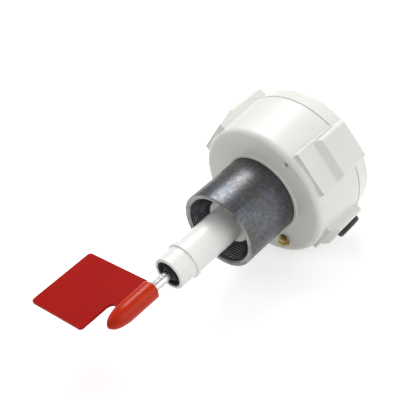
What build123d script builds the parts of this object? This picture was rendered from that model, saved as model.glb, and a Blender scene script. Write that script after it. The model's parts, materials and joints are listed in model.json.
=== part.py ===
from build123d import *
import math
import os

os.makedirs("parts", exist_ok=True)

# A rotary paddle level switch, in millimetres. The shaft axis is Y: the paddle points along -Y and the
# housing lies along +Y. The origin is the centre of the open rim of the threaded socket. Distances named
# "station" are measured forward from it, along -Y. Angles run about the shaft, from +X towards +Z.

# Process connection: a weld-in socket with a G2 pipe thread
socket_diameter = 66.0
socket_length = 52.6
thread_bore = 56.7
thread_clearance = 0.05
neck_end = -27.0
collar_diameter = 38.2
collar_station = -12.7
lip_height = 1.0
lip_width = 1.9
lip_gap = 0.3

# Housing and lid
body_depth = 46.8
lid_depth = 17.6
body_front_radius = 57.2
body_back_radius = 59.8
lid_radius = 60.0
lid_back_radius = 57.8
lid_taper_depth = 12.6
wall = 3.2
lid_wall = 3.0
front_round = 5.0
lid_round = 4.5
pad_apothem = 60.0
pad_width = 37.0
pad_setback = 5.0
lug_apothem = 65.0
lug_width = 34.0
lug_slope = 5.0
lug_lid_depth = 12.0
lug_round = 3.0
entry_setbacks = {31: 22.5, 140: 20.0, 220: 20.0}
groove_width = 1.3
groove_depth = 1.1
gasket_width = 1.6
gasket_thickness = 1.0

# Lid posts and screws
post_angles = (22, 112, 202, 292)
post_circle = 49.5
post_radius = 5.0
lid_screw_radius = 2.1
lid_screw_reach = 14.0
screw_head_radius = 4.2
screw_head_height = 2.6
screw_gap = 0.05

# Cable entry with its blanking plug
plug_angle = 322.5
plug_depth = 35.4
plug_radius = 10.0
plug_flange_radius = 10.8
plug_flange_height = 2.9
plug_reach = 11.0
dome_share = 0.85
plug_boss_start = 48.0
plug_boss_setback = 14.0
plug_boss_width = 27.0
plug_pad_setback = 9.0
plug_pad_width = 31.0
plug_gasket_height = 0.8

# Vent recess and earth terminal on the front face
vent_place = (32.5, 37.0)
vent_radius = 1.9
vent_recess_radius = 3.2
earth_place = (15.6, -41.8)
earth_screw_radius = 2.0
earth_head_radius = 3.8
earth_head_height = 2.6
earth_washer_radius = 5.0
earth_washer_height = 1.0
earth_clamp_height = 1.2

# Shaft tube, bearings and seal
tube_gap = 0.05
tube_nose_step = 0.47
tube_end = 54.9
tube_ring_station = 35.0
tube_ring_width = 4.0
tube_ring_height = 1.4
tube_flange_radius = 19.0
tube_flange_thickness = 3.0
bearing_outer = 11.0
bearing_wall = 3.07
bearing_fit = 0.02
bearing_width = 7.0
bearing_setback = 4.6
spacer_wall = 1.2
seal_recess = 0.6
seal_thickness = 4.0
seal_hub_radius = 6.4
shaft_radius = 4.0
shaft_gap = 0.05
circlip_radius = 6.3
circlip_thickness = 0.8
circlip_gap = 0.3
circlip_groove = 0.3

# Paddle
sleeve_radius = 7.74
sleeve_start = 71.8
sleeve_shoulder = 98.4
sleeve_end = 116.7
nose_flat = 0.8
sleeve_bore_depth = 30.0
blade_start = 68.05
blade_end = 128.75
blade_inner = 16.2
blade_outer = 73.4
blade_thickness = 2.2
blade_corner = 3.0
web_start = 70.0
web_inner = 9.5
web_end = 102.5
grub_radius = 2.0
grub_station = 82.0

# Chassis inside the housing
chassis_standoff = 6.2
chassis_thickness = 2.0
chassis_radius = 45.5
chassis_screw_circle = 28.0
chassis_screw_angles = (45, 165, 225, 345)
chassis_post_radius = 3.5
small_screw_radius = 1.5
small_head_radius = 2.75
small_head_height = 2.0
journal_radius = 12.0
journal_bore = 9.5
journal_shoulder = 15.0
journal_length = 16.0
carrier_setback = 12.0
carrier_thickness = 2.5
carrier_radius = 24.0
carrier_gap = 0.1
arm_width = 8.0
arm_length = 40.0
clip_width = 1.0
clip_radius = 14.5

# Shaft coupling and gear motor
coupling_radius = 7.5
coupling_length = 16.0
coupling_setback = 1.0
motor_shaft_radius = 3.0
motor_standoff = 5.5
motor_standoff_radius = 3.2
motor_screw_circle = 20.0
gearbox_radius = 25.0
gearbox_depth = 11.0
motor_radius = 23.0
motor_depth = 17.0
motor_boss_radius = 6.0
motor_boss_height = 2.0

# Microswitches, one beside each arm of the carrier
switch_face = 20.0
switch_width = 10.0
switch_low = 20.0
switch_length = 20.0
switch_height = 16.0
lever_pivot = (-19.3, 21.0)
lever_length = 19.0
lever_lean = 15.0
lever_thickness = 0.5
lever_width = 5.0
lever_eye = 0.6
button_height = 28.0
button_proud = 1.5
button_radius = 1.2
button_depth = 4.0

# Return spring, its post, and the stop pins
spring_level = 30.0
spring_radius = 2.4
spring_start = 7.5
spring_length = 10.5
post_place = (22.0, 30.0)
pin_radius = 1.5
pin_places = ((6.2, 38.0), (-14.5, 22.4))

# Terminal block
block_inner = 33.0
block_depth = 10.0
block_length = 28.0
block_height = 13.0
block_poles = 6

# Stations worked out from the sizes above
front_face = -socket_length
lid_split = front_face - body_depth
back_end = lid_split - lid_depth
inner_face = front_face - wall
lid_floor = back_end + lid_wall
lid_taper_end = lid_split - lid_taper_depth
neck_radius = thread_bore / 2 - thread_clearance
chassis_front = inner_face - chassis_standoff
chassis_back = chassis_front - chassis_thickness
carrier_front = chassis_back - carrier_setback
carrier_back = carrier_front - carrier_thickness
journal_end = chassis_back - journal_length
flange_front = inner_face - screw_gap
flange_back = flange_front - tube_flange_thickness
front_bearing_end = tube_end - bearing_setback
rear_bearing_end = flange_back + 1.0 + bearing_width
coupling_front = flange_back - coupling_setback
coupling_back = coupling_front - coupling_length
shaft_end = coupling_front - 6.0
motor_front = carrier_back - motor_standoff
gearbox_back = motor_front - gearbox_depth
motor_back = gearbox_back - motor_depth
plug_station = front_face - plug_depth
tube_radius = bearing_outer + bearing_wall
tube_nose_radius = tube_radius - tube_nose_step
arm_angles = {"a": 90, "b": 270}


def turned(points, rounded=(), mode=Mode.ADD):
    """Revolve a closed (station, radius) outline about the shaft; rounded lists (station, radius, fillet)."""
    with BuildSketch(Plane.XY) as section:
        with BuildLine():
            Polyline(*[(radius, -station) for station, radius in points], close=True)
        make_face()
        for station, radius, size in rounded:
            corner = section.vertices().sort_by_distance((radius, -station, 0))[0]
            fillet(corner, radius=size)
    revolve(section.sketch, axis=Axis.Y, mode=mode)


def disc(start, end, outer, inner=0.0, places=((0, 0),), mode=Mode.ADD):
    """A round bar or tube along the shaft direction at each (x, z) place."""
    with BuildSketch(Plane.XZ.offset(start)) as section:
        with Locations(*places):
            Circle(outer)
            if inner:
                Circle(inner, mode=Mode.SUBTRACT)
    extrude(section.sketch, amount=end - start, mode=mode)


def turned_plane(station, turn):
    """The plane square to the shaft at a station, its x direction turned from +X by an angle."""
    cosine, sine = math.cos(math.radians(turn)), math.sin(math.radians(turn))
    return Plane(origin=(0, -station, 0), x_dir=(cosine, 0, sine), z_dir=(0, -1, 0))


def block(start, end, low, high, turn=0.0, mode=Mode.ADD):
    """A rectangular bar between two (x, z) corners, turned about the shaft by an angle."""
    with BuildSketch(turned_plane(start, turn)) as section:
        with Locations(((low[0] + high[0]) / 2, (low[1] + high[1]) / 2)):
            Rectangle(high[0] - low[0], high[1] - low[1])
    extrude(section.sketch, amount=end - start, mode=mode)


def rib(points, angle, width, mode=Mode.ADD):
    """A bar whose (station, radius) side outline lies in the plane through the shaft at an angle."""
    cosine, sine = math.cos(math.radians(angle)), math.sin(math.radians(angle))
    plane = Plane(origin=(0, 0, 0), x_dir=(cosine, 0, sine), z_dir=(sine, 0, -cosine))
    with BuildSketch(plane) as section:
        with BuildLine():
            Polyline(*[(radius, station) for station, radius in points], close=True)
        make_face()
    extrude(section.sketch, amount=width / 2, both=True, mode=mode)


def radial(station, angle, start, end, outer, inner=0.0, mode=Mode.ADD):
    """A round bar or tube pointing outward from the shaft."""
    cosine, sine = math.cos(math.radians(angle)), math.sin(math.radians(angle))
    origin = (start * cosine, -station, start * sine)
    with BuildSketch(Plane(origin=origin, x_dir=(0, 1, 0), z_dir=(cosine, 0, sine))) as section:
        Circle(outer)
        if inner:
            Circle(inner, mode=Mode.SUBTRACT)
    extrude(section.sketch, amount=end - start, mode=mode)


def entry_pad(angle, setback, width):
    """A flat pad on the housing's side where a cable entry can be."""
    block(front_face - setback, lid_split, (0, -width / 2), (pad_apothem, width / 2), turn=angle)


def entry_lug(angle, setback, width):
    """The raised boss on a pad, with its sloped front."""
    lug_front = front_face - setback
    rib(
        [
            (lug_front, 0),
            (lug_front, pad_apothem),
            (lug_front - lug_slope, lug_apothem),
            (lid_split, lug_apothem),
            (lid_split, 0),
        ],
        angle,
        width,
    )


def corner_edges(part, width):
    """The long outer edges of the raised bosses that are this wide."""
    corner = math.hypot(lug_apothem, width / 2)
    edges = part.edges().filter_by(Axis.Y)
    return edges.filter_by(lambda edge: abs(math.hypot(edge.center().X, edge.center().Z) - corner) < 0.1)


def around(circle, angles):
    """The (x, z) places on a circle about the shaft."""
    return [(circle * math.cos(math.radians(a)), circle * math.sin(math.radians(a))) for a in angles]


def save(piece, name):
    """Label a finished piece and write its STEP file."""
    piece.part.label = name
    export_step(piece.part, f"parts/{name}.step")


def screws(head_station, head_radius, head_height, shank_radius, tip_station, places):
    """Identical cheese-head screws pointing along the shaft direction, with cross slots in their heads."""
    back = math.copysign(1, head_station - tip_station)
    disc(tip_station, head_station, shank_radius, places=places)
    disc(head_station, head_station + back * head_height, head_radius, places=places)
    slot_start = head_station + back * head_height * 0.5
    slot_end = head_station + back * head_height
    with BuildSketch(Plane.XZ.offset(slot_start)) as slots:
        with Locations(*places):
            Rectangle(head_radius * 1.3, head_radius * 0.28)
            Rectangle(head_radius * 0.28, head_radius * 1.3)
    extrude(slots.sketch, amount=slot_end - slot_start, mode=Mode.SUBTRACT)


# ---- Process connection ---------------------------------------------------------------------------------

with BuildPart() as threaded_socket:
    rim = 1.2
    turned(
        [
            (0, thread_bore / 2 + rim),
            (0, socket_diameter / 2),
            (front_face, socket_diameter / 2),
            (front_face, thread_bore / 2),
            (-rim, thread_bore / 2),
        ]
    )
save(threaded_socket, "threaded_socket")

# ---- Housing --------------------------------------------------------------------------------------------

cavity_front = body_front_radius - wall
cavity_back = body_back_radius - wall
post_places = around(post_circle, post_angles)
chassis_places = around(chassis_screw_circle, chassis_screw_angles)
lip_inner = socket_diameter / 2 + lip_gap

with BuildPart() as housing_body:
    turned(
        [
            (collar_station, 0),
            (collar_station, collar_diameter / 2),
            (neck_end, collar_diameter / 2),
            (neck_end, neck_radius),
            (front_face, neck_radius),
            (front_face, body_front_radius),
            (lid_split, body_back_radius),
            (lid_split, 0),
        ],
        rounded=[(front_face, body_front_radius, front_round), (collar_station, collar_diameter / 2, 1.0)],
    )
    disc(front_face, front_face + lip_height, lip_inner + lip_width, lip_inner)
    for angle, setback in entry_setbacks.items():
        entry_pad(angle, pad_setback, pad_width)
        entry_lug(angle, setback, lug_width)
    entry_pad(plug_angle, plug_pad_setback, plug_pad_width)
    entry_lug(plug_angle, plug_boss_setback, plug_boss_width)
    fillet(corner_edges(housing_body, lug_width), radius=lug_round)
    fillet(corner_edges(housing_body, plug_boss_width), radius=lug_round)
    turned(
        [(inner_face, 0), (inner_face, cavity_front), (lid_split, cavity_back), (lid_split, 0)],
        mode=Mode.SUBTRACT,
    )
    disc(inner_face, lid_split, post_radius, places=post_places)
    disc(inner_face, chassis_front, chassis_post_radius, places=chassis_places)
    radial(plug_station, plug_angle, plug_boss_start, pad_apothem, plug_radius + wall)
    disc(lid_split, lid_split - wall, lug_apothem + wall, mode=Mode.SUBTRACT)
    disc(collar_station, inner_face, tube_radius + tube_gap, mode=Mode.SUBTRACT)
    disc(lid_split, lid_split + lid_screw_reach + 1, lid_screw_radius + screw_gap, places=post_places,
         mode=Mode.SUBTRACT)
    disc(chassis_front, chassis_front + 5, small_screw_radius + screw_gap, places=chassis_places,
         mode=Mode.SUBTRACT)
    disc(front_face, inner_face, earth_screw_radius + screw_gap, places=(earth_place,), mode=Mode.SUBTRACT)
    disc(front_face, inner_face, vent_radius, places=(vent_place,), mode=Mode.SUBTRACT)
    disc(front_face, front_face - 0.6, vent_recess_radius, places=(vent_place,), mode=Mode.SUBTRACT)
    radial(plug_station, plug_angle, 40.0, lug_apothem + 5, plug_radius + screw_gap, mode=Mode.SUBTRACT)
    gasket_middle = (cavity_back + body_back_radius) / 2
    disc(lid_split, lid_split + gasket_thickness, gasket_middle + gasket_width / 2 + screw_gap,
         gasket_middle - gasket_width / 2 - screw_gap, mode=Mode.SUBTRACT)
save(housing_body, "housing_body")

with BuildPart() as lid_gasket:
    disc(lid_split, lid_split + gasket_thickness, gasket_middle + gasket_width / 2,
         gasket_middle - gasket_width / 2)
save(lid_gasket, "lid_gasket")

# ---- Lid ------------------------------------------------------------------------------------------------

with BuildPart() as lid:
    turned(
        [
            (lid_split, 0),
            (lid_split, lid_radius),
            (lid_taper_end, lid_back_radius),
            (back_end, lid_back_radius),
            (back_end, 0),
        ],
        rounded=[(back_end, lid_back_radius, lid_round)],
    )
    for angle in entry_setbacks:
        rib(
            [
                (lid_split, 0),
                (lid_split, lug_apothem),
                (lid_split - lug_lid_depth + 4, lug_apothem),
                (lid_split - lug_lid_depth, lug_apothem - 4),
                (lid_split - lug_lid_depth, 0),
            ],
            angle,
            lug_width,
        )
    fillet(corner_edges(lid, lug_width), radius=lug_round)
    turned(
        [
            (lid_split, 0),
            (lid_split, cavity_back),
            (lid_floor + 4, lid_back_radius - wall),
            (lid_floor, lid_back_radius - wall - 4),
            (lid_floor, 0),
        ],
        mode=Mode.SUBTRACT,
    )
    disc(lid_split, lid_floor, post_radius, places=post_places)
    disc(lid_split, back_end, lid_screw_radius + screw_gap, places=post_places, mode=Mode.SUBTRACT)
    disc(back_end, back_end + screw_head_height + 0.4, screw_head_radius + 0.4, places=post_places,
         mode=Mode.SUBTRACT)
    disc(lid_split, lid_split - groove_width, lid_radius + 1, lid_radius - groove_depth, mode=Mode.SUBTRACT)
    for angle in entry_setbacks:
        block(
            lid_split,
            lid_split - groove_width,
            (gasket_middle, -lug_width / 2 + lug_round),
            (lug_apothem, lug_width / 2 - lug_round),
            turn=angle,
        )
save(lid, "lid")

with BuildPart() as lid_screws:
    screws(back_end + screw_head_height + 0.4, screw_head_radius, screw_head_height, lid_screw_radius,
           lid_split + lid_screw_reach, post_places)
save(lid_screws, "lid_screws")

# ---- Cable entry plug -----------------------------------------------------------------------------------

with BuildPart() as plug_gasket:
    radial(plug_station, plug_angle, lug_apothem, lug_apothem + plug_gasket_height, plug_flange_radius,
           plug_radius + screw_gap)
save(plug_gasket, "plug_gasket")

flange_base = lug_apothem + plug_gasket_height
with BuildPart() as cable_plug:
    radial(plug_station, plug_angle, lug_apothem - plug_reach, flange_base, plug_radius)
    radial(plug_station, plug_angle, flange_base, flange_base + plug_flange_height, plug_flange_radius)
    plug_axis = Vector(math.cos(math.radians(plug_angle)), 0, math.sin(math.radians(plug_angle)))
    dome_edge = cable_plug.edges().sort_by(lambda edge: edge.center().dot(plug_axis))[-1]
    fillet(dome_edge, radius=plug_flange_height * dome_share)
    radial(plug_station, plug_angle, lug_apothem - plug_reach, lug_apothem - 3, plug_radius - 2.5,
           mode=Mode.SUBTRACT)
save(cable_plug, "cable_plug")

# ---- Earth terminal -------------------------------------------------------------------------------------

clamp_station = front_face + earth_washer_height
head_station = clamp_station + earth_clamp_height
with BuildPart() as earth_washer:
    disc(front_face, clamp_station, earth_washer_radius, earth_screw_radius + screw_gap, places=(earth_place,))
save(earth_washer, "earth_washer")

with BuildPart() as earth_clamp:
    with BuildSketch(Plane.XZ.offset(clamp_station)) as clamp_face:
        with Locations(earth_place):
            Rectangle(7.6, 7.6)
            Circle(earth_screw_radius + screw_gap, mode=Mode.SUBTRACT)
    extrude(clamp_face.sketch, amount=earth_clamp_height)
save(earth_clamp, "earth_clamp")

with BuildPart() as earth_screw:
    disc(inner_face, head_station, earth_screw_radius, places=(earth_place,))
    disc(head_station, head_station + earth_head_height, earth_head_radius, places=(earth_place,))
    with BuildSketch(Plane.XZ.offset(head_station + earth_head_height * 0.4)) as slot:
        with Locations(earth_place):
            Rectangle(earth_head_radius * 3, 1.0)
    extrude(slot.sketch, amount=earth_head_height, mode=Mode.SUBTRACT)
save(earth_screw, "earth_screw")

# ---- Shaft tube, bearings and seal ----------------------------------------------------------------------

bore = bearing_outer + bearing_fit
ring_end = tube_ring_station + tube_ring_width
with BuildPart() as shaft_tube:
    turned(
        [
            (tube_end, bore),
            (tube_end, tube_nose_radius - 0.8),
            (tube_end - 0.8, tube_nose_radius),
            (ring_end, tube_radius - 0.1),
            (ring_end, tube_radius + tube_ring_height - 0.3),
            (ring_end - 0.6, tube_radius + tube_ring_height),
            (tube_ring_station + 0.6, tube_radius + tube_ring_height),
            (tube_ring_station, tube_radius),
            (flange_front, tube_radius),
            (flange_front, tube_flange_radius),
            (flange_back, tube_flange_radius),
            (flange_back, bore),
        ]
    )
save(shaft_tube, "shaft_tube")


def bearing(front):
    """A shielded ball bearing: two races joined by recessed shields, its front face at a station."""
    inner_race = shaft_radius + 2.0
    outer_race = bearing_outer - 2.0
    shaft_hole = shaft_radius + bearing_fit
    back = front - bearing_width
    turned(
        [
            (front, shaft_hole),
            (front, inner_race),
            (front - 0.5, inner_race),
            (front - 0.5, outer_race),
            (front, outer_race),
            (front, bearing_outer),
            (back, bearing_outer),
            (back, outer_race),
            (back + 0.5, outer_race),
            (back + 0.5, inner_race),
            (back, inner_race),
            (back, shaft_hole),
        ]
    )


with BuildPart() as front_bearing:
    bearing(front_bearing_end)
save(front_bearing, "front_bearing")

with BuildPart() as rear_bearing:
    bearing(rear_bearing_end)
save(rear_bearing, "rear_bearing")

with BuildPart() as bearing_spacer:
    disc(rear_bearing_end, front_bearing_end - bearing_width, bearing_outer, bearing_outer - spacer_wall)
save(bearing_spacer, "bearing_spacer")

seal_front = tube_end - seal_recess
seal_back = seal_front - seal_thickness
seal_bore = shaft_radius + shaft_gap
with BuildPart() as shaft_seal:
    turned(
        [
            (seal_back, seal_bore),
            (seal_front + 0.4, seal_bore),
            (seal_front - 0.2, seal_hub_radius - 1.0),
            (seal_front - 0.8, seal_hub_radius),
            (seal_front - 2.4, seal_hub_radius + 0.4),
            (seal_front - 2.4, bearing_outer - 1.6),
            (seal_front, bearing_outer - 1.2),
            (seal_front, bearing_outer),
            (seal_back, bearing_outer),
        ]
    )
save(shaft_seal, "shaft_seal")

# ---- Shaft and paddle -----------------------------------------------------------------------------------

shaft_tip = sleeve_start + sleeve_bore_depth
clip_stations = (
    front_bearing_end - bearing_width - circlip_gap,
    rear_bearing_end + circlip_gap + circlip_thickness,
)
with BuildPart() as paddle_shaft:
    disc(shaft_end, shaft_tip, shaft_radius)
    for station in clip_stations:
        disc(station, station - circlip_thickness, shaft_radius + 1, shaft_radius - circlip_groove,
             mode=Mode.SUBTRACT)
    radial(grub_station, 270, shaft_radius - 0.5, shaft_radius + 1, grub_radius + 0.3, mode=Mode.SUBTRACT)
    block(sleeve_start - 12, sleeve_start, (-2, shaft_radius - 0.5), (2, shaft_radius + 1), mode=Mode.SUBTRACT)
save(paddle_shaft, "paddle_shaft")

with BuildPart() as shaft_circlips:
    for station in clip_stations:
        disc(station, station - circlip_thickness, circlip_radius, shaft_radius - circlip_groove)
save(shaft_circlips, "shaft_circlips")

nose_length = sleeve_end - sleeve_shoulder
nose_outline = [(sleeve_radius, -sleeve_shoulder)]
for nose_angle in (20, 40, 60, 75):
    bend = math.radians(nose_angle)
    nose_outline.append((sleeve_radius * math.cos(bend), -(sleeve_shoulder + nose_length * math.sin(bend))))
nose_outline.append((nose_flat, -sleeve_end))
with BuildPart() as paddle:
    with BuildSketch(Plane.XY) as sleeve_section:
        with BuildLine():
            Polyline(
                (nose_flat, -sleeve_end),
                (0, -sleeve_end),
                (0, -sleeve_start),
                (sleeve_radius - 1.4, -sleeve_start),
                (sleeve_radius, -sleeve_start - 1.4),
                (sleeve_radius, -sleeve_shoulder),
            )
            Spline(*nose_outline, tangents=((0, -1), (-1, -0.1)))
        make_face()
    revolve(sleeve_section.sketch, axis=Axis.Y)
    with BuildSketch(Plane.XY) as blade_outline:
        with Locations((-(blade_inner + blade_outer) / 2, -(blade_start + blade_end) / 2)):
            RectangleRounded(blade_outer - blade_inner, blade_end - blade_start, blade_corner)
        with Locations((-(blade_inner + blade_corner + web_inner) / 2, -(blade_start + web_end) / 2)):
            Rectangle(blade_inner + blade_corner - web_inner, web_end - blade_start)
        with Locations((-web_inner / 2, -(web_start + web_end) / 2)):
            Rectangle(web_inner, web_end - web_start)
        notch_width = blade_inner - sleeve_radius
        with Locations((-(blade_inner + sleeve_radius) / 2, -web_end)):
            Circle(notch_width / 2 - 0.3, mode=Mode.SUBTRACT)
    extrude(blade_outline.sketch, amount=blade_thickness / 2, both=True)
    disc(web_start - 1, shaft_tip + 0.5, shaft_radius + bearing_fit, mode=Mode.SUBTRACT)
    radial(grub_station, 270, shaft_radius - 1, sleeve_radius + 1, grub_radius + screw_gap,
           mode=Mode.SUBTRACT)
save(paddle, "paddle")

with BuildPart() as paddle_grub_screw:
    radial(grub_station, 270, shaft_radius - 0.4, sleeve_radius - 0.4, grub_radius)
    radial(grub_station, 270, sleeve_radius - 1.8, sleeve_radius, grub_radius * 0.5, mode=Mode.SUBTRACT)
save(paddle_grub_screw, "paddle_grub_screw")

# ---- Shaft coupling -------------------------------------------------------------------------------------

motor_shaft_front = shaft_end - 0.5
coupling_screw_stations = (coupling_front - 3.0, coupling_back + 3.5)
with BuildPart() as shaft_coupling:
    disc(coupling_back, coupling_front, coupling_radius)
    disc(coupling_front, shaft_end, shaft_radius + bearing_fit, mode=Mode.SUBTRACT)
    disc(shaft_end, coupling_back, motor_shaft_radius + bearing_fit, mode=Mode.SUBTRACT)
    for station in coupling_screw_stations:
        radial(station, 90, motor_shaft_radius, coupling_radius + 1, small_screw_radius + screw_gap,
               mode=Mode.SUBTRACT)
save(shaft_coupling, "shaft_coupling")

with BuildPart() as coupling_screws:
    radial(coupling_screw_stations[0], 90, shaft_radius + 0.1, coupling_radius, small_screw_radius)
    radial(coupling_screw_stations[1], 90, motor_shaft_radius + 0.1, coupling_radius, small_screw_radius)
save(coupling_screws, "coupling_screws")

with BuildPart() as motor_output_shaft:
    disc(motor_front - 5, motor_shaft_front, motor_shaft_radius)
save(motor_output_shaft, "motor_output_shaft")

# ---- Chassis --------------------------------------------------------------------------------------------

clip_front = carrier_back - carrier_gap
clip_back = clip_front - clip_width
pin_end = carrier_back - 1.0
with BuildPart() as chassis_plate:
    disc(chassis_front, chassis_back, chassis_radius, journal_bore)
    disc(chassis_back, carrier_front + carrier_gap, journal_shoulder, journal_bore)
    disc(carrier_front + carrier_gap, journal_end, journal_radius, journal_bore)
    disc(clip_front, clip_back, clip_radius, journal_radius - 0.5, mode=Mode.SUBTRACT)
    disc(chassis_front, chassis_back, small_screw_radius + 0.2, places=chassis_places, mode=Mode.SUBTRACT)
    for angle in post_angles:
        block(chassis_front, chassis_back, (chassis_radius - 1.5, -7), (chassis_radius + 2, 7), turn=angle,
              mode=Mode.SUBTRACT)
save(chassis_plate, "chassis_plate")

with BuildPart() as chassis_screws:
    screws(chassis_back, small_head_radius, small_head_height, small_screw_radius, chassis_front + 4.5,
           chassis_places)
save(chassis_screws, "chassis_screws")

with BuildPart() as journal_clip:
    disc(clip_front, clip_back, clip_radius, journal_radius - 0.5)
    block(clip_front, clip_back, (-2, -clip_radius - 1), (2, 0), mode=Mode.SUBTRACT)
save(journal_clip, "journal_clip")

# ---- Motor carrier and gear motor -----------------------------------------------------------------------

motor_screw_places = around(motor_screw_circle, (0, 180))
with BuildPart() as motor_carrier:
    disc(carrier_front, carrier_back, carrier_radius)
    for angle in arm_angles.values():
        block(carrier_front, carrier_back, (0, -arm_width / 2), (arm_length, arm_width / 2), turn=angle)
    disc(carrier_front, carrier_back, journal_radius + tube_gap, mode=Mode.SUBTRACT)
    disc(carrier_front, carrier_back, small_screw_radius + screw_gap, places=motor_screw_places,
         mode=Mode.SUBTRACT)
save(motor_carrier, "motor_carrier")

with BuildPart() as motor_standoffs:
    disc(carrier_back, motor_front, motor_standoff_radius, small_screw_radius + screw_gap,
         places=motor_screw_places)
save(motor_standoffs, "motor_standoffs")

motor_screw_tip = motor_front - 6.0
with BuildPart() as motor_screws:
    screws(carrier_front, small_head_radius, small_head_height, small_screw_radius, motor_screw_tip,
           motor_screw_places)
save(motor_screws, "motor_screws")

with BuildPart() as gear_motor:
    turned(
        [
            (motor_front + motor_boss_height, 0),
            (motor_front + motor_boss_height, motor_boss_radius),
            (motor_front, motor_boss_radius),
            (motor_front, gearbox_radius),
            (gearbox_back, gearbox_radius),
            (gearbox_back, motor_radius),
            (motor_back, motor_radius),
            (motor_back, 0),
        ],
        rounded=[(motor_back, motor_radius, 2.0), (motor_front, gearbox_radius, 0.8)],
    )
    disc(motor_front + motor_boss_height, motor_front - 5.5, motor_shaft_radius + shaft_gap,
         mode=Mode.SUBTRACT)
    disc(motor_front, motor_screw_tip, small_screw_radius + screw_gap, places=motor_screw_places,
         mode=Mode.SUBTRACT)
save(gear_motor, "gear_motor")

# ---- Microswitches with their levers and buttons --------------------------------------------------------
# Each switch is laid out for an arm pointing straight up, with x across the arm and z along it, and is then
# turned about the shaft to its arm.

switch_back = chassis_back - switch_height
lever_front = carrier_front + 1.0
lever_back = lever_front - lever_width
button_station = (lever_front + lever_back) / 2
lean = math.radians(lever_lean)
lever_tip = (
    lever_pivot[0] + lever_length * math.sin(lean),
    lever_pivot[1] + lever_length * math.cos(lean),
)
switch_screw_levels = (switch_low + 4.0, switch_low + switch_length - 4.0)
switch_screw_u = -switch_face - switch_width / 2

for name, arm_angle in arm_angles.items():
    turn = arm_angle - 90
    with BuildPart() as microswitch:
        block(
            chassis_back,
            switch_back,
            (-switch_face - switch_width, switch_low),
            (-switch_face, switch_low + switch_length),
            turn=turn,
        )
        with BuildSketch(turned_plane(chassis_back, turn)) as screw_holes:
            with Locations(*[(switch_screw_u, level) for level in switch_screw_levels]):
                Circle(small_screw_radius * 0.7 + screw_gap)
        extrude(screw_holes.sketch, amount=switch_back - chassis_back, mode=Mode.SUBTRACT)
        side = math.cos(math.radians(turn))
        with BuildSketch(Plane(origin=(side * -switch_face, -button_station, side * button_height),
                               x_dir=(0, 1, 0), z_dir=(-side, 0, 0))) as button_hole:
            Circle(button_radius + shaft_gap)
        extrude(button_hole.sketch, amount=button_depth + 1, mode=Mode.SUBTRACT)
    save(microswitch, f"microswitch_{name}")

    with BuildPart() as switch_lever:
        with BuildSketch(turned_plane(lever_front, turn)) as strip:
            with Locations(Location(((lever_pivot[0] + lever_tip[0]) / 2,
                                     (lever_pivot[1] + lever_tip[1]) / 2), -lever_lean)):
                Rectangle(lever_thickness, lever_length)
            with Locations(lever_tip):
                Circle(lever_thickness)
            with Locations(lever_pivot):
                Circle(lever_eye)
        extrude(strip.sketch, amount=lever_back - lever_front)
    save(switch_lever, f"switch_lever_{name}")

    with BuildPart() as switch_button:
        with BuildSketch(Plane(origin=(side * (-switch_face + button_proud), -button_station,
                                       side * button_height),
                               x_dir=(0, 1, 0), z_dir=(-side, 0, 0))) as button_face:
            Circle(button_radius)
        extrude(button_face.sketch, amount=button_depth)
    save(switch_button, f"switch_button_{name}")

with BuildPart() as switch_screws:
    for arm_angle in arm_angles.values():
        turn = arm_angle - 90
        with BuildSketch(turned_plane(switch_back, turn)) as shanks:
            with Locations(*[(switch_screw_u, level) for level in switch_screw_levels]):
                Circle(small_screw_radius * 0.7)
        extrude(shanks.sketch, amount=chassis_back - switch_back)
        with BuildSketch(turned_plane(switch_back - 1.4, turn)) as heads:
            with Locations(*[(switch_screw_u, level) for level in switch_screw_levels]):
                Circle(small_screw_radius * 1.4)
        extrude(heads.sketch, amount=1.4)
save(switch_screws, "switch_screws")

# ---- Return spring, post and stop pins ------------------------------------------------------------------

with BuildPart() as spring_post:
    disc(chassis_back, pin_end, pin_radius, places=(post_place,))
save(spring_post, "spring_post")

with BuildPart() as stop_pins:
    disc(chassis_back, pin_end, pin_radius, places=pin_places)
save(stop_pins, "stop_pins")

spring_station = (carrier_front + carrier_back) / 2
with BuildPart() as return_spring:
    with BuildSketch(Plane(origin=(spring_start, -spring_station, spring_level), z_dir=(1, 0, 0))) as coil:
        Circle(spring_radius)
        Circle(spring_radius - 0.8, mode=Mode.SUBTRACT)
    extrude(coil.sketch, amount=spring_length)
save(return_spring, "return_spring")

# ---- Terminal block -------------------------------------------------------------------------------------

block_back = chassis_back - block_height
pole_pitch = block_length / block_poles
first_pole = -(block_poles - 1) / 2 * pole_pitch
pole_places = [(block_inner + block_depth / 2, first_pole + index * pole_pitch) for index in range(block_poles)]
with BuildPart() as terminal_block:
    block(
        chassis_back,
        block_back,
        (block_inner, -block_length / 2),
        (block_inner + block_depth, block_length / 2),
    )
    disc(block_back, block_back + 8, 1.7, places=pole_places, mode=Mode.SUBTRACT)
    disc(block_back, block_back + 2.5, 2.2, places=pole_places, mode=Mode.SUBTRACT)
save(terminal_block, "terminal_block")

with BuildPart() as terminal_screws:
    disc(block_back + 3.0, block_back + 7.5, 1.6, places=pole_places)
    with BuildSketch(Plane.XZ.offset(block_back + 3.0)) as screw_slots:
        with Locations(*pole_places):
            Rectangle(2.8, 0.5)
    extrude(screw_slots.sketch, amount=0.8, mode=Mode.SUBTRACT)
save(terminal_screws, "terminal_screws")
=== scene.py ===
import json
import math
import bpy
from mathutils import Matrix, Vector


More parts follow.
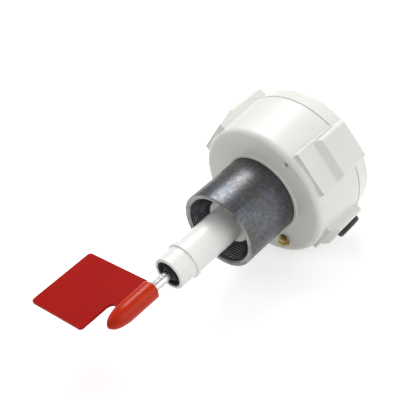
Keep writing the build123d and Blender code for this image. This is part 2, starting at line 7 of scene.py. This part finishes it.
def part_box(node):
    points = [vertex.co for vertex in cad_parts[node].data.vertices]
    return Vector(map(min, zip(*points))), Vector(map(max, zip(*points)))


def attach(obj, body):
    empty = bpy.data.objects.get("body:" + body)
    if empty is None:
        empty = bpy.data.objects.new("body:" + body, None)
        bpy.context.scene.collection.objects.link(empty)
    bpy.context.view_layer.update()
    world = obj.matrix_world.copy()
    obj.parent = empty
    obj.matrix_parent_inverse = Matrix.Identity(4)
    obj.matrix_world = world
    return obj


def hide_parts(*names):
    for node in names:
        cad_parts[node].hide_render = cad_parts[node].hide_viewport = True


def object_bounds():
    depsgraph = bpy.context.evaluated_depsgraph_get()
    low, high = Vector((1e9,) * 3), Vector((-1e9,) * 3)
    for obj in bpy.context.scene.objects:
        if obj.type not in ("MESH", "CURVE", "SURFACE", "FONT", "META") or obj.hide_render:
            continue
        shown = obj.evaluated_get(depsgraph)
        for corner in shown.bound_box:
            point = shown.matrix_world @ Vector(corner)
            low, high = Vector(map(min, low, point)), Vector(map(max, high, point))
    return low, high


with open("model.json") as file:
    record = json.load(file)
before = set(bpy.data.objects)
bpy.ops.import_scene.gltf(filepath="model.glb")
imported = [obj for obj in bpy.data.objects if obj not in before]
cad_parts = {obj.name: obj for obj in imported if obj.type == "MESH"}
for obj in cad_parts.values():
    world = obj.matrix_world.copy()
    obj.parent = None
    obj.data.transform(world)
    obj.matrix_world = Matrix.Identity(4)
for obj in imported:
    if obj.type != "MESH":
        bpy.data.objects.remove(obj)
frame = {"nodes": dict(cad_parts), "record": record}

# The looks of a rotary paddle level switch. The shaft axis is Y and the paddle points along -Y.
# "Station" is the distance forward from the socket's open rim, along -Y, in metres.

cad_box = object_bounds()
MM = 0.001
SEGMENTS = 192

socket_low, socket_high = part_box("threaded_socket")
tube_low, tube_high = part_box("shaft_tube")
seal_low, seal_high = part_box("shaft_seal")
paddle_low, paddle_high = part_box("paddle")

socket_radius = socket_high.x
socket_base = -socket_high.y
thread_radius = 28.35 * MM
thread_depth = 0.75 * MM
thread_pitch = 2.309 * MM
thread_length = 27.0 * MM
thread_start = 1.3 * MM
thread_fade = 0.4 * MM
fade_turns = 1.2
crest_power = 0.8


# ---- Materials -------------------------------------------------------------------------------------------

class Shader:
    """A node material with a Principled shader, and short calls for its noise, ramps and bump."""

    def __init__(self, name, colour, roughness, metallic=0.0, specular=0.5, coat=0.0):
        self.material = bpy.data.materials.new(name)
        self.material.use_nodes = True
        self.tree = self.material.node_tree
        self.shader = self.tree.nodes["Principled BSDF"]
        self.set("Base Color", (*colour, 1))
        self.set("Roughness", roughness)
        self.set("Metallic", metallic)
        self.set("Specular IOR Level", specular)
        self.set("Coat Weight", coat)
        self.coordinates = self.tree.nodes.new("ShaderNodeTexCoord").outputs["Object"]
        self.material.diffuse_color = (*colour, 1)

    def set(self, socket, value):
        self.shader.inputs[socket].default_value = value

    def link(self, output, target):
        self.tree.links.new(output, target)

    def stretched(self, scale):
        """The object coordinates, scaled along each axis."""
        node = self.tree.nodes.new("ShaderNodeMapping")
        node.inputs["Scale"].default_value = scale
        self.link(self.coordinates, node.inputs["Vector"])
        return node.outputs["Vector"]

    def noise(self, scale, detail=4.0, stretch=(1, 1, 1), distortion=0.0):
        """Fractal noise; scale is in features per metre."""
        node = self.tree.nodes.new("ShaderNodeTexNoise")
        node.inputs["Scale"].default_value = scale
        node.inputs["Detail"].default_value = detail
        node.inputs["Distortion"].default_value = distortion
        self.link(self.stretched(stretch), node.inputs["Vector"])
        return node.outputs["Fac"]

    def ramp(self, factor, *stops):
        """A colour ramp with (position, colour) stops."""
        node = self.tree.nodes.new("ShaderNodeValToRGB")
        elements = node.color_ramp.elements
        while len(elements) < len(stops):
            elements.new(0.5)
        for element, (position, colour) in zip(elements, stops):
            element.position = position
            element.color = (*colour, 1)
        self.link(factor, node.inputs["Fac"])
        return node.outputs["Color"]

    def span(self, factor, low, high, start=0.3, end=0.7):
        """A number that runs from low to high as the factor runs from start to end."""
        node = self.tree.nodes.new("ShaderNodeMapRange")
        for socket, value in (("From Min", start), ("From Max", end), ("To Min", low), ("To Max", high)):
            node.inputs[socket].default_value = value
        self.link(factor, node.inputs["Value"])
        return node.outputs["Result"]

    def mix(self, factor, first, second):
        """Two colour outputs mixed by a factor output."""
        node = self.tree.nodes.new("ShaderNodeMix")
        node.data_type = "RGBA"
        self.link(factor, node.inputs["Factor"])
        self.link(first, node.inputs["A"])
        self.link(second, node.inputs["B"])
        return node.outputs["Result"]

    def colour(self, output):
        self.link(output, self.shader.inputs["Base Color"])

    def roughness(self, output):
        self.link(output, self.shader.inputs["Roughness"])

    def bump(self, height, strength, distance):
        """Surface relief from a height output; distance is in metres. Calls add up."""
        node = self.tree.nodes.new("ShaderNodeBump")
        node.inputs["Strength"].default_value = strength
        node.inputs["Distance"].default_value = distance
        self.link(height, node.inputs["Height"])
        normal = self.shader.inputs["Normal"]
        if normal.links:
            self.link(normal.links[0].from_socket, node.inputs["Normal"])
        self.link(node.outputs["Normal"], normal)


def moulded(name, light, dark, roughness, coat=0.0, grain=900, relief=0.12):
    """Injection-moulded plastic: faint flow clouds, a fine orange-peel relief and uneven gloss."""
    m = Shader(name, light, roughness, coat=coat)
    clouds = m.noise(22, detail=5.0, distortion=0.6)
    m.colour(m.ramp(clouds, (0.34, dark), (0.66, light)))
    m.roughness(m.span(m.noise(70, detail=6.0), roughness - 0.06, roughness + 0.07))
    m.bump(m.noise(grain, detail=3.0), relief, 0.00008)
    m.bump(m.noise(45, detail=2.0), relief * 1.5, 0.0002)
    return m.material


def turned_metal(name, light, dark, roughness, streak=(1, 14, 1), scale=180):
    """Machined metal with fine tool lines round the shaft axis and faint staining."""
    m = Shader(name, light, roughness, metallic=1.0)
    lines = m.noise(scale, detail=6.0, stretch=streak)
    stain = m.noise(40, detail=6.0, distortion=0.8)
    m.colour(m.ramp(stain, (0.3, dark), (0.62, light)))
    m.roughness(m.span(lines, roughness - 0.07, roughness + 0.1))
    m.bump(lines, 0.18, 0.00006)
    return m.material


def rolled_steel():
    """Dark pipe-socket steel: fine mill-scale mottling that drifts between bluish and warm grey."""
    m = Shader("rolled_steel", (0.11, 0.11, 0.115), 0.4, metallic=0.9, specular=0.4)
    patches = m.noise(450, detail=9.0, stretch=(1, 0.8, 1), distortion=0.3)
    tints = m.noise(45, detail=3.0, distortion=0.2)
    cool = m.ramp(
        patches,
        (0.3, (0.078, 0.083, 0.096)),
        (0.52, (0.108, 0.114, 0.129)),
        (0.75, (0.15, 0.155, 0.167)),
    )
    warm = m.ramp(
        patches,
        (0.3, (0.078, 0.076, 0.073)),
        (0.52, (0.108, 0.105, 0.101)),
        (0.75, (0.15, 0.146, 0.14)),
    )
    m.colour(m.mix(m.span(tints, 0.0, 1.0, 0.4, 0.62), cool, warm))
    m.roughness(m.span(m.noise(420, detail=8.0, stretch=(1, 0.7, 1)), 0.27, 0.44))
    m.bump(m.noise(620, detail=8.0, stretch=(1, 0.7, 1)), 0.35, 0.00016)
    m.bump(m.noise(1500, detail=4.0), 0.25, 0.00006)
    return m.material


def cut_steel():
    """Bare steel on the socket's cut rim: lighter, with faint tool marks."""
    m = Shader("cut_steel", (0.24, 0.238, 0.23), 0.34, metallic=1.0)
    stain = m.noise(60, detail=7.0, distortion=0.7)
    m.colour(m.ramp(stain, (0.3, (0.11, 0.107, 0.1)), (0.6, (0.28, 0.277, 0.27))))
    m.roughness(m.span(m.noise(300, detail=5.0), 0.28, 0.5))
    m.bump(m.noise(900, detail=5.0, stretch=(1, 3, 1)), 0.25, 0.00008)
    return m.material


def shaded_thread_steel():
    """The cut thread inside the socket: steel darker than the outside, as painted shade inside the bore, with
    faint lines.
    """
    m = Shader("shaded_thread_steel", (0.1, 0.1, 0.11), 0.36, metallic=0.9, specular=0.4)
    thread_mottle = m.noise(140, detail=6.0, distortion=0.4)
    m.colour(m.ramp(thread_mottle, (0.3, (0.05, 0.05, 0.058)), (0.65, (0.12, 0.12, 0.13))))
    m.roughness(m.span(m.noise(320, detail=5.0), 0.28, 0.42))
    m.bump(m.noise(900, detail=4.0), 0.1, 0.00004)
    return m.material


def moulded_red(name, light, dark, roughness, specular):
    """Glossy red moulding with faint flow marks along the shaft direction."""
    m = Shader(name, light, roughness, specular=specular)
    flow = m.noise(30, detail=6.0, stretch=(1, 0.4, 1), distortion=1.0)
    m.colour(m.ramp(flow, (0.32, dark), (0.68, light)))
    m.roughness(m.span(m.noise(90, detail=6.0), roughness - 0.06, roughness + 0.08))
    m.bump(m.noise(700, detail=3.0), 0.1, 0.00006)
    m.bump(m.noise(38, detail=2.0), 0.2, 0.0003)
    return m.material


def black_rubber():
    """Matt black rubber with a fine grain and pale dust."""
    m = Shader("black_rubber", (0.016, 0.016, 0.017), 0.62, specular=0.35)
    dust = m.noise(160, detail=7.0)
    m.colour(m.ramp(dust, (0.45, (0.014, 0.014, 0.015)), (0.8, (0.04, 0.04, 0.04))))
    m.roughness(m.span(dust, 0.55, 0.75))
    m.bump(m.noise(1100, detail=4.0), 0.25, 0.00008)
    return m.material


white = moulded("white_housing_plastic", (0.79, 0.79, 0.755), (0.765, 0.765, 0.725), 0.4, coat=0.05)
tube_white = moulded("white_tube_plastic", (0.88, 0.88, 0.86), (0.85, 0.845, 0.815), 0.28, coat=0.15)
rolled = rolled_steel()
cut = cut_steel()
# The thread steel's darker colour is painted shade inside the socket's bore.
painted_shade_thread = shaded_thread_steel()
blade_red = moulded_red("blade_red_plastic", (0.40, 0.006, 0.002), (0.36, 0.004, 0.002), 0.45, 0.08)
# The sleeve's lighter, more orange red is painted light on the curved sleeve; the paddle is one red moulding.
sleeve_lit_red = moulded_red("sleeve_red_plastic", (0.55, 0.03, 0.003), (0.46, 0.012, 0.002), 0.2, 0.2)
rubber = black_rubber()
black_plastic = moulded(
    "black_moulded_plastic", (0.022, 0.022, 0.025), (0.015, 0.015, 0.017), 0.4, relief=0.2,
)
grey_plastic = moulded("grey_moulded_plastic", (0.42, 0.43, 0.44), (0.36, 0.37, 0.38), 0.45)
bright = turned_metal("bright_steel", (0.66, 0.66, 0.655), (0.42, 0.41, 0.4), 0.24)
brass = turned_metal("turned_brass", (0.66, 0.52, 0.2), (0.36, 0.26, 0.08), 0.25)
zinc = turned_metal("zinc_plate", (0.60, 0.61, 0.59), (0.47, 0.48, 0.47), 0.38, streak=(1, 1, 1), scale=90)
motor_case = turned_metal("motor_case_metal", (0.62, 0.62, 0.63), (0.5, 0.5, 0.52), 0.35, scale=120)

slot_materials = {
    "dark_steel": rolled,
    "white_housing": white,
    "red_paddle": blade_red,
    "brass": brass,
    "black_plastic": black_plastic,
    "bright_steel": bright,
    "motor_case": motor_case,
    "zinc_plate": zinc,
    "terminal_grey": grey_plastic,
    "rubber_seal": rubber,
}
for subpart in frame["record"]["subparts"]:
    mesh = frame["nodes"][subpart["node"]].data
    mesh.materials.clear()
    mesh.materials.append(slot_materials[subpart["material_slot"]])


# ---- Mesh building ---------------------------------------------------------------------------------------

def add_mesh(name, vertices, faces, material, smooth_angle=40):
    """A new object from vertices and faces, shaded smooth below an angle."""
    mesh = bpy.data.meshes.new(name)
    mesh.from_pydata([tuple(v) for v in vertices], [], faces)
    mesh.validate()
    mesh.update()
    piece = bpy.data.objects.new(name, mesh)
    bpy.context.scene.collection.objects.link(piece)
    mesh.materials.append(material)
    mesh.shade_smooth()
    mesh.set_sharp_from_angle(angle=math.radians(smooth_angle))
    return piece


def lathe(name, rings, material, centre=(0, 0), segments=SEGMENTS, smooth_angle=40):
    """A closed surface round Y through (station, radius) rings; a radius may depend on the angle."""
    vertices, faces = [], []
    for station, radius in rings:
        for index in range(segments):
            angle = 2 * math.pi * index / segments
            reach = radius(angle) if callable(radius) else radius
            across = centre[0] + reach * math.cos(angle)
            upward = centre[1] + reach * math.sin(angle)
            vertices.append((across, -station, upward))
    count = len(rings)
    for ring in range(count):
        following = (ring + 1) % count
        for index in range(segments):
            other = (index + 1) % segments
            faces.append((
                ring * segments + index,
                ring * segments + other,
                following * segments + other,
                following * segments + index,
            ))
    return add_mesh(name, vertices, faces, material, smooth_angle)


def rounded(corners, steps=5):
    """(station, radius, rounding) corners of a closed outline, each rounded by a short arc."""
    outline = []
    count = len(corners)
    for index, (station, radius, rounding) in enumerate(corners):
        here = Vector((station, radius))
        if rounding <= 0:
            outline.append((station, radius))
            continue
        before = Vector(corners[index - 1][:2]) - here
        after = Vector(corners[(index + 1) % count][:2]) - here
        cut_length = min(rounding, before.length * 0.45, after.length * 0.45)
        start = here + before.normalized() * cut_length
        end = here + after.normalized() * cut_length
        for step in range(steps + 1):
            t = step / steps
            point = start * (1 - t) ** 2 + here * 2 * t * (1 - t) + end * t ** 2
            outline.append((point.x, point.y))
    return outline


# ---- Threaded socket -------------------------------------------------------------------------------------

def thread_form(station):
    """The bore's radius at a station as a function of angle: a rounded V thread that fades in at the rim."""
    depth = thread_depth * min(1.0, max(0.0, (-station - thread_fade) / (fade_turns * thread_pitch)))

    def radius(angle):
        phase = (-station / thread_pitch + angle / (2 * math.pi)) % 1.0
        return thread_radius + depth * (0.5 - 0.5 * math.cos(2 * math.pi * phase)) ** crest_power

    return radius


def make_socket():
    """The pipe socket with a cut rim, a real helical thread in its mouth and softened edges."""
    steps_per_turn = 10
    count = int(thread_length / thread_pitch * steps_per_turn)
    bore = []
    for step in range(count + 1):
        station = -thread_start - thread_length * step / count
        bore.append((station, thread_form(station)))
    outside = rounded(
        [
            (socket_base, thread_radius, 0),
            (socket_base, socket_radius, 0.5 * MM),
            (0.0, socket_radius, 1.1 * MM),
            (0.0, thread_radius + 1.9 * MM, 0.5 * MM),
            (-1.0 * MM, thread_radius + 0.6 * MM, 0),
        ]
    )
    piece = lathe("socket_body", outside + bore, rolled, smooth_angle=50)
    mesh = piece.data
    mesh.materials.append(cut)
    mesh.materials.append(painted_shade_thread)
    for polygon in mesh.polygons:
        reach = math.hypot(polygon.center.x, polygon.center.z)
        # Faces inside the bore take the darker thread steel: painted shade in the socket's mouth.
        if reach < thread_radius + 1.0 * MM:
            polygon.material_index = 2
        elif polygon.center.y < 0.9 * MM and reach < socket_radius - 0.1 * MM:
            polygon.material_index = 1
    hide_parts("threaded_socket")
    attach(piece, "housing")


make_socket()


# ---- Shaft tube and seal ---------------------------------------------------------------------------------

def make_shaft_tube():
    """The moulded shaft tube with its raised ring, tapered nose and rounded end."""
    radius = 14.07 * MM
    nose = 13.6 * MM
    bore = 11.02 * MM
    ring_front = 39.3 * MM
    ring_back = 34.8 * MM
    ring_slope = 0.4 * MM
    ring_radius = radius + 1.35 * MM
    flange_front = -55.9 * MM
    end = -tube_low.y
    flange = tube_high.x
    flange_back = -tube_high.y
    outline = rounded(
        [
            (end, bore, 0.35 * MM),
            (end, nose, 1.0 * MM),
            (ring_front, radius - 0.3 * MM, 0.3 * MM),
            (ring_front - ring_slope, ring_radius, 0.6 * MM),
            (ring_back + ring_slope, ring_radius, 0.6 * MM),
            (ring_back, radius, 0.4 * MM),
            (flange_front, radius, 0),
            (flange_front, flange, 0.3 * MM),
            (flange_back, flange, 0.3 * MM),
            (flange_back, bore, 0.3 * MM),
        ]
    )
    piece = lathe("tube_moulding", outline, tube_white)
    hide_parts("shaft_tube")
    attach(piece, "housing")


def make_shaft_seal():
    """The black lip seal: an outer ring, a groove, and a lip that stands up round the shaft."""
    front = -seal_low.y
    back = -seal_high.y
    outer = seal_high.x
    shaft = 4.05 * MM
    lip_crest = shaft + 0.7 * MM
    lip_foot = 6.2 * MM
    groove_inner = 6.8 * MM
    groove_outer = 9.1 * MM
    groove_floor = front - 3.1 * MM
    ring_inner = 9.7 * MM
    outline = rounded(
        [
            (back, shaft, 0),
            (front, shaft, 0.1 * MM),
            (front - 0.2 * MM, lip_crest, 0.3 * MM),
            (front - 1.0 * MM, lip_foot, 0.6 * MM),
            (groove_floor + 0.1 * MM, groove_inner, 0.5 * MM),
            (groove_floor, groove_outer, 0.5 * MM),
            (front - 0.6 * MM, ring_inner, 0.5 * MM),
            (front - 0.4 * MM, outer, 0.3 * MM),
            (back, outer, 0.2 * MM),
        ]
    )
    piece = lathe("lip_seal", outline, rubber, segments=128)
    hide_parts("shaft_seal")
    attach(piece, "housing")


make_shaft_tube()
make_shaft_seal()


# ---- Finish of the CAD nodes -----------------------------------------------------------------------------

moulded_edge = 0.9 * MM
sharp_above = math.radians(30)


def soften(node, width, angle=32, segments=3):
    """Round a CAD node's sharp edges with a bevel."""
    piece = frame["nodes"][node]
    bevel = piece.modifiers.new("edge_round", "BEVEL")
    bevel.width = width
    bevel.segments = segments
    bevel.limit_method = "ANGLE"
    bevel.angle_limit = math.radians(angle)
    bevel.harden_normals = True


def colour_paddle():
    """The paddle is one red moulding; its sleeve gets a lighter, more orange red than its blade as painted
    light on the curved sleeve.
    """
    mesh = frame["nodes"]["paddle"].data
    mesh.materials.append(sleeve_lit_red)
    sleeve_radius = paddle_high.x + 0.3 * MM
    for polygon in mesh.polygons:
        if math.hypot(polygon.center.x, polygon.center.z) < sleeve_radius:
            polygon.material_index = 1


colour_paddle()
for piece in frame["nodes"].values():
    piece.data.shade_smooth()
    piece.data.set_sharp_from_angle(angle=sharp_above)
for node in ("housing_body", "lid"):
    soften(node, moulded_edge)


# ---- Stage, light and camera -----------------------------------------------------------------------------

def make_stage():
    """A pale floor under the object that keeps its shadow and shows white to the camera."""
    low, high = cad_box
    half = 6.0
    mesh = bpy.data.meshes.new("floor")
    mesh.from_pydata([(-half, -half, low.z), (half, -half, low.z), (half, half, low.z), (-half, half, low.z)],
                     [], [(0, 1, 2, 3)])
    floor = bpy.data.objects.new("floor", mesh)
    bpy.context.scene.collection.objects.link(floor)
    material = bpy.data.materials.new("floor_white")
    material.use_nodes = True
    tree = material.node_tree
    tree.nodes.clear()
    output = tree.nodes.new("ShaderNodeOutputMaterial")
    diffuse = tree.nodes.new("ShaderNodeBsdfDiffuse")
    diffuse.inputs["Color"].default_value = (0.86, 0.86, 0.86, 1)
    glow = tree.nodes.new("ShaderNodeEmission")
    glow.inputs["Color"].default_value = (1, 1, 1, 1)
    path = tree.nodes.new("ShaderNodeLightPath")
    seen = tree.nodes.new("ShaderNodeMath")
    seen.operation = "MAXIMUM"
    tree.links.new(path.outputs["Is Camera Ray"], seen.inputs[0])
    tree.links.new(path.outputs["Is Glossy Ray"], seen.inputs[1])
    strength = tree.nodes.new("ShaderNodeMath")
    strength.operation = "MULTIPLY"
    strength.inputs[1].default_value = 0.5
    tree.links.new(seen.outputs[0], strength.inputs[0])
    tree.links.new(strength.outputs[0], glow.inputs["Strength"])
    add = tree.nodes.new("ShaderNodeAddShader")
    tree.links.new(diffuse.outputs[0], add.inputs[0])
    tree.links.new(glow.outputs[0], add.inputs[1])
    tree.links.new(add.outputs[0], output.inputs["Surface"])
    mesh.materials.append(material)


def make_world():
    """Soft even light that the camera sees as white."""
    world = bpy.data.worlds.new("studio")
    bpy.context.scene.world = world
    world.use_nodes = True
    tree = world.node_tree
    background = tree.nodes["Background"]
    background.inputs["Color"].default_value = (1, 1, 1, 1)
    path = tree.nodes.new("ShaderNodeLightPath")
    strength = tree.nodes.new("ShaderNodeMapRange")
    strength.inputs["To Min"].default_value = 0.5
    strength.inputs["To Max"].default_value = 1.0
    tree.links.new(path.outputs["Is Camera Ray"], strength.inputs["Value"])
    tree.links.new(strength.outputs["Result"], background.inputs["Strength"])


def add_light(name, place, target, size, power):
    """A square soft lamp that points at a target; power is in watts."""
    lamp = bpy.data.lights.new(name, "AREA")
    lamp.shape = "SQUARE"
    lamp.size = size
    lamp.energy = power
    holder = bpy.data.objects.new(name, lamp)
    holder.location = place
    holder.rotation_mode = "QUATERNION"
    holder.rotation_quaternion = (Vector(target) - Vector(place)).to_track_quat("-Z", "Y")
    bpy.context.scene.collection.objects.link(holder)


def make_camera():
    """The camera: azimuth and elevation round the aim point, rolled about its own axis."""
    azimuth, elevation, roll = math.radians(51.76), math.radians(35.75), math.radians(-15.42)
    distance = 0.71353
    aim = Vector((-0.0161, 0.0045, 0.0214))
    back = Vector((math.cos(elevation) * math.sin(azimuth), -math.cos(elevation) * math.cos(azimuth),
                   math.sin(elevation)))
    level = Vector((math.cos(azimuth), math.sin(azimuth), 0))
    upright = back.cross(level)
    right = level * math.cos(roll) + upright * math.sin(roll)
    up = back.cross(right)
    data = bpy.data.cameras.new("camera")
    data.sensor_width = 36.0
    data.lens = 84.77
    data.clip_start = 0.01
    camera = bpy.data.objects.new("camera", data)
    turn = Matrix((right, up, back)).transposed()
    camera.matrix_world = Matrix.Translation(aim + back * distance) @ turn.to_4x4()
    bpy.context.scene.collection.objects.link(camera)
    bpy.context.scene.camera = camera


make_stage()
make_world()
middle = (cad_box[0] + cad_box[1]) / 2
add_light("overhead", middle + Vector((-0.34, 0.5, 0.95)), middle, 0.55, 7.5)
add_light("left_fill", middle + Vector((-0.9, -0.6, 0.7)), middle, 0.8, 1.5)
add_light("right_fill", middle + Vector((1.0, 0.2, 0.4)), middle, 0.9, 3.5)
make_camera()
bpy.context.scene.view_settings.view_transform = "Standard"
